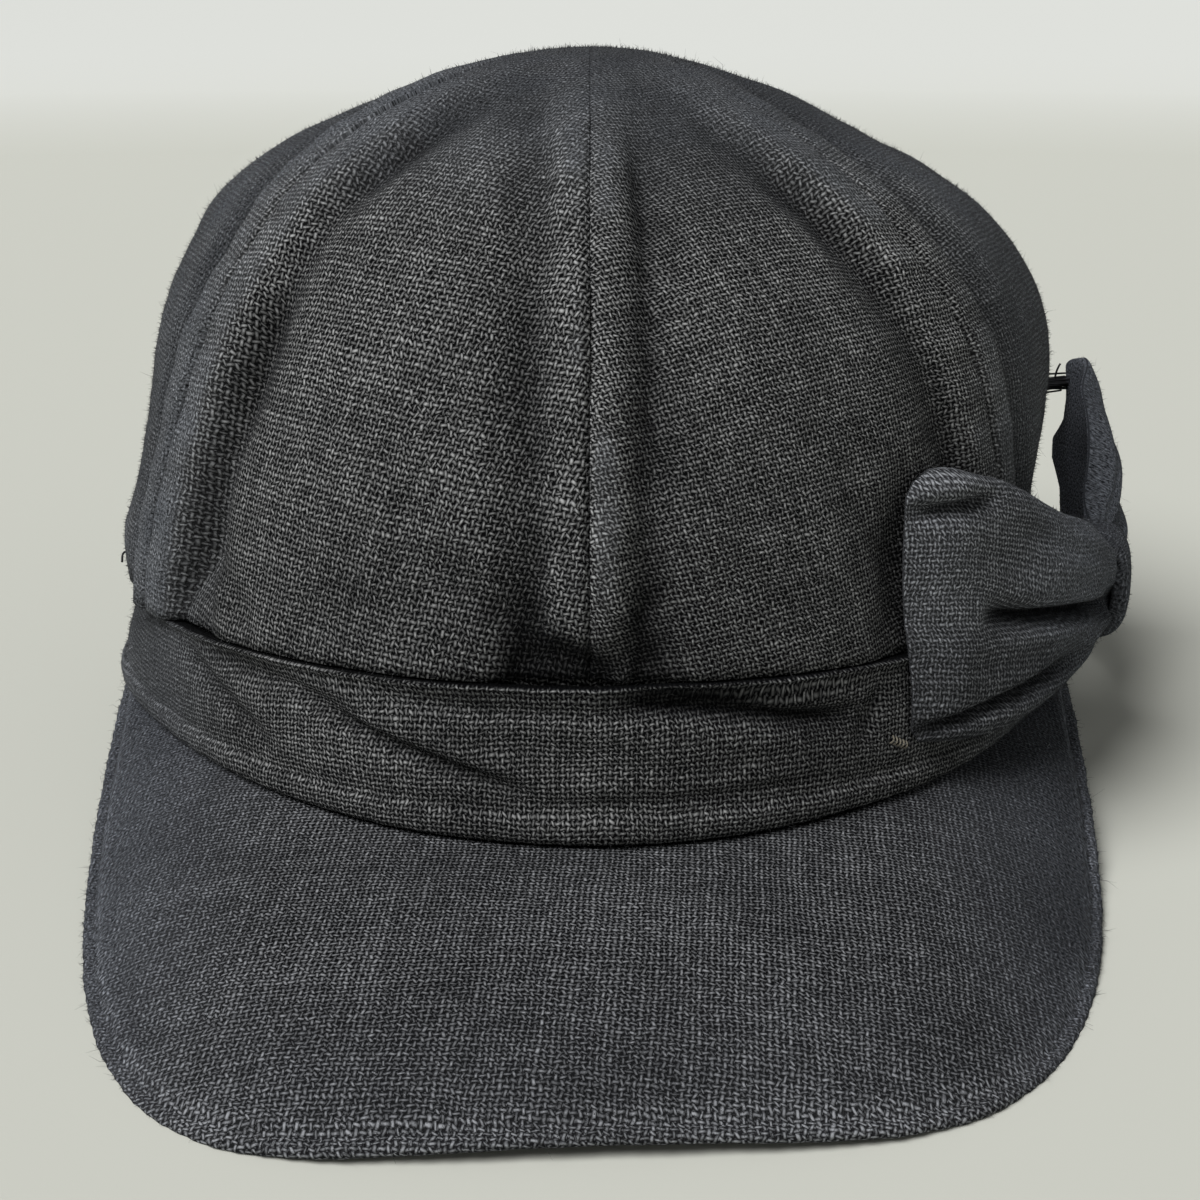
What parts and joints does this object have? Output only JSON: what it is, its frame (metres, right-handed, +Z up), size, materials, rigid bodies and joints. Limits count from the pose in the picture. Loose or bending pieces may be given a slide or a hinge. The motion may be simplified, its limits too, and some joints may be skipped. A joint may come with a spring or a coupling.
{
  "type": "cadet cap",
  "caption": "Linen cadet cap with a panelled crown, a plain band, a stiff peak and a side bow of doubled cloth.",
  "frame": {"origin": "middle of the cap's box, seen from above, at the level of the table it lies on", "axes": "+X to the wearer's left, where the bow is; +Y to the back of the head; +Z up from the table"},
  "size_m": [0.1848, 0.2706, 0.1197],
  "materials": {
    "black_linen": "matte"
  },
  "bodies": {
    "root": {"crown_panel_back_right": "black_linen", "crown_panel_side_back_right": "black_linen", "crown_panel_side_front_right": "black_linen", "crown_panel_front_right": "black_linen", "crown_panel_front_left": "black_linen", "crown_panel_side_front_left": "black_linen", "crown_panel_side_back_left": "black_linen", "crown_panel_back_left": "black_linen", "band": "black_linen", "peak": "black_linen", "bow_front_half": "black_linen", "bow_back_half": "black_linen", "bow_knot": "black_linen"}
  },
  "joints": []
}
